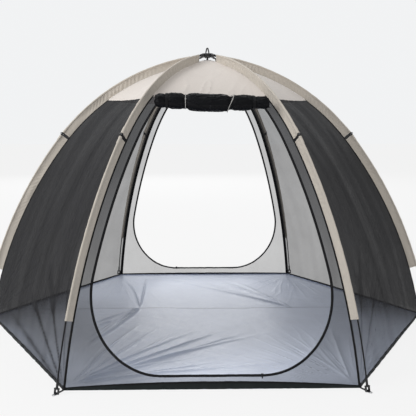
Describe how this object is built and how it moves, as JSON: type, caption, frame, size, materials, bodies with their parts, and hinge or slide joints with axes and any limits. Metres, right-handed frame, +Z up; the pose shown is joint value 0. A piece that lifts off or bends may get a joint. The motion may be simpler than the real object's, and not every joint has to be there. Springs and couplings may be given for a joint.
{
  "type": "screen house",
  "caption": "Hexagonal quick-pitch shelter: folding jointed poles under a hub carry a roof canopy, mesh walls and two zipped doorways over a groundsheet.",
  "frame": {"origin": "on the ground in the middle of the footprint, under the hub", "axes": "+X to the right through two opposite corners, -Y out of the front doorway, +Z up"},
  "size_m": [3.7716, 3.269, 2.1985],
  "materials": {
    "hub_plastic": "moulded, fine grain",
    "joint_plastic": "moulded, fine grain",
    "pole": "pultruded glass fibre rod, dark",
    "steel": "zinc plated",
    "rope": "braided cord",
    "canopy": "coated polyester weave",
    "sleeve": "coated polyester weave",
    "mesh": "fine insect mesh",
    "webbing": "woven tape",
    "groundsheet": "coated polyester, slight sheen",
    "zip_tape": "zip tape with coil",
    "zip_metal": "black lacquer",
    "door_fabric": "rolled mesh"
  },
  "bodies": {
    "root": {"hub_base": "hub_plastic", "hub_cap": "hub_plastic", "hub_pins": "steel", "hub_screws": "steel", "pull_loop": "rope", "canopy_anchor": "hub_plastic", "roof_canopy": "canopy", "front_wall": "mesh", "rear_wall": "mesh", "front_left_wall": "mesh", "front_right_wall": "mesh", "rear_left_wall": "mesh", "rear_right_wall": "mesh", "corner_bindings": "webbing", "groundsheet": "groundsheet", "groundsheet_edge": "groundsheet", "front_zip": "zip_tape", "rear_zip": "zip_tape", "front_door_roll": "door_fabric", "rear_door_roll": "door_fabric", "front_ties": "webbing", "rear_ties": "webbing"},
    "upper_1": {"upper_pole_1": "pole", "elbow_1": "joint_plastic", "upper_sleeve_1": "sleeve"},
    "upper_2": {"upper_pole_2": "pole", "elbow_2": "joint_plastic", "upper_sleeve_2": "sleeve"},
    "upper_3": {"upper_pole_3": "pole", "elbow_3": "joint_plastic", "upper_sleeve_3": "sleeve"},
    "upper_4": {"upper_pole_4": "pole", "elbow_4": "joint_plastic", "upper_sleeve_4": "sleeve"},
    "upper_5": {"upper_pole_5": "pole", "elbow_5": "joint_plastic", "upper_sleeve_5": "sleeve"},
    "upper_6": {"upper_pole_6": "pole", "elbow_6": "joint_plastic", "upper_sleeve_6": "sleeve"},
    "lower_1": {"lower_pole_1": "pole", "lower_sleeve_1": "sleeve"},
    "lower_2": {"lower_pole_2": "pole", "lower_sleeve_2": "sleeve"},
    "lower_3": {"lower_pole_3": "pole", "lower_sleeve_3": "sleeve"},
    "lower_4": {"lower_pole_4": "pole", "lower_sleeve_4": "sleeve"},
    "lower_5": {"lower_pole_5": "pole", "lower_sleeve_5": "sleeve"},
    "lower_6": {"lower_pole_6": "pole", "lower_sleeve_6": "sleeve"},
    "strap_1": {"corner_strap_1": "webbing"},
    "strap_2": {"corner_strap_2": "webbing"},
    "strap_3": {"corner_strap_3": "webbing"},
    "strap_4": {"corner_strap_4": "webbing"},
    "strap_5": {"corner_strap_5": "webbing"},
    "strap_6": {"corner_strap_6": "webbing"},
    "front_slider": {"front_slider": "zip_metal"},
    "rear_slider": {"rear_slider": "zip_metal"}
  },
  "joints": [
    {"name": "hub_hinge_1", "type": "hinge", "parent": "root", "child": "upper_1", "pos_m": [0.036, 0, 2.14], "axis": [0, 1, 0], "range_deg": [0, 55], "deforming": ["roof_canopy", "front_wall", "rear_wall", "front_left_wall", "front_right_wall", "rear_left_wall", "rear_right_wall", "corner_bindings", "groundsheet", "groundsheet_edge", "front_zip", "rear_zip", "front_door_roll", "rear_door_roll", "front_ties", "rear_ties"]},
    {"name": "hub_hinge_2", "type": "hinge", "parent": "root", "child": "upper_2", "pos_m": [0.018, 0.03118, 2.14], "axis": [-0.866, 0.5, 0], "range_deg": [0, 55]},
    {"name": "hub_hinge_3", "type": "hinge", "parent": "root", "child": "upper_3", "pos_m": [-0.018, 0.03118, 2.14], "axis": [-0.866, -0.5, 0], "range_deg": [0, 55]},
    {"name": "hub_hinge_4", "type": "hinge", "parent": "root", "child": "upper_4", "pos_m": [-0.036, 0, 2.14], "axis": [0, -1, 0], "range_deg": [0, 55]},
    {"name": "hub_hinge_5", "type": "hinge", "parent": "root", "child": "upper_5", "pos_m": [-0.018, -0.03118, 2.14], "axis": [0.866, -0.5, 0], "range_deg": [0, 55]},
    {"name": "hub_hinge_6", "type": "hinge", "parent": "root", "child": "upper_6", "pos_m": [0.018, -0.03118, 2.14], "axis": [0.866, 0.5, 0], "range_deg": [0, 55]},
    {"name": "elbow_hinge_1", "type": "hinge", "parent": "upper_1", "child": "lower_1", "pos_m": [1.1766, 0, 1.52486], "axis": [0, 1, 0], "range_deg": [-176, 0]},
    {"name": "elbow_hinge_2", "type": "hinge", "parent": "upper_2", "child": "lower_2", "pos_m": [0.5883, 1.01896, 1.52486], "axis": [-0.866, 0.5, 0], "range_deg": [-176, 0]},
    {"name": "elbow_hinge_3", "type": "hinge", "parent": "upper_3", "child": "lower_3", "pos_m": [-0.5883, 1.01896, 1.52486], "axis": [-0.866, -0.5, 0], "range_deg": [-176, 0]},
    {"name": "elbow_hinge_4", "type": "hinge", "parent": "upper_4", "child": "lower_4", "pos_m": [-1.1766, 0, 1.52486], "axis": [0, -1, 0], "range_deg": [-176, 0]},
    {"name": "elbow_hinge_5", "type": "hinge", "parent": "upper_5", "child": "lower_5", "pos_m": [-0.5883, -1.01896, 1.52486], "axis": [0.866, -0.5, 0], "range_deg": [-176, 0]},
    {"name": "elbow_hinge_6", "type": "hinge", "parent": "upper_6", "child": "lower_6", "pos_m": [0.5883, -1.01896, 1.52486], "axis": [0.866, 0.5, 0], "range_deg": [-176, 0]},
    {"name": "strap_hinge_1", "type": "hinge", "parent": "lower_1", "child": "strap_1", "pos_m": [1.85, 0, 0.008], "axis": [0, 1, 0], "range_deg": [0, 35.2]},
    {"name": "strap_hinge_2", "type": "hinge", "parent": "lower_2", "child": "strap_2", "pos_m": [0.925, 1.60215, 0.008], "axis": [-0.866, 0.5, 0], "range_deg": [0, 35.2]},
    {"name": "strap_hinge_3", "type": "hinge", "parent": "lower_3", "child": "strap_3", "pos_m": [-0.925, 1.60215, 0.008], "axis": [-0.866, -0.5, 0], "range_deg": [0, 35.2]},
    {"name": "strap_hinge_4", "type": "hinge", "parent": "lower_4", "child": "strap_4", "pos_m": [-1.85, 0, 0.008], "axis": [0, -1, 0], "range_deg": [0, 35.2]},
    {"name": "strap_hinge_5", "type": "hinge", "parent": "lower_5", "child": "strap_5", "pos_m": [-0.925, -1.60215, 0.008], "axis": [0.866, -0.5, 0], "range_deg": [0, 35.2]},
    {"name": "strap_hinge_6", "type": "hinge", "parent": "lower_6", "child": "strap_6", "pos_m": [0.925, -1.60215, 0.008], "axis": [0.866, 0.5, 0], "range_deg": [0, 35.2]},
    {"name": "front_slider_travel", "type": "slide", "parent": "lower_6", "child": "front_slider", "axis": [1, 0, 0], "range_m": [-0.68, 0.07]},
    {"name": "rear_slider_travel", "type": "slide", "parent": "lower_3", "child": "rear_slider", "axis": [1, 0, 0], "range_m": [-0.07, 0.68]}
  ],
  "couplings": [
    {"joint": "hub_hinge_2", "follows": "hub_hinge_1", "ratio": 1},
    {"joint": "hub_hinge_3", "follows": "hub_hinge_1", "ratio": 1},
    {"joint": "hub_hinge_4", "follows": "hub_hinge_1", "ratio": 1},
    {"joint": "hub_hinge_5", "follows": "hub_hinge_1", "ratio": 1},
    {"joint": "hub_hinge_6", "follows": "hub_hinge_1", "ratio": 1},
    {"joint": "elbow_hinge_1", "follows": "hub_hinge_1", "ratio": -3.2},
    {"joint": "elbow_hinge_2", "follows": "hub_hinge_1", "ratio": -3.2},
    {"joint": "elbow_hinge_3", "follows": "hub_hinge_1", "ratio": -3.2},
    {"joint": "elbow_hinge_4", "follows": "hub_hinge_1", "ratio": -3.2},
    {"joint": "elbow_hinge_5", "follows": "hub_hinge_1", "ratio": -3.2},
    {"joint": "elbow_hinge_6", "follows": "hub_hinge_1", "ratio": -3.2},
    {"joint": "strap_hinge_1", "follows": "hub_hinge_1", "ratio": 0.64},
    {"joint": "strap_hinge_2", "follows": "hub_hinge_1", "ratio": 0.64},
    {"joint": "strap_hinge_3", "follows": "hub_hinge_1", "ratio": 0.64},
    {"joint": "strap_hinge_4", "follows": "hub_hinge_1", "ratio": 0.64},
    {"joint": "strap_hinge_5", "follows": "hub_hinge_1", "ratio": 0.64},
    {"joint": "strap_hinge_6", "follows": "hub_hinge_1", "ratio": 0.64}
  ]
}
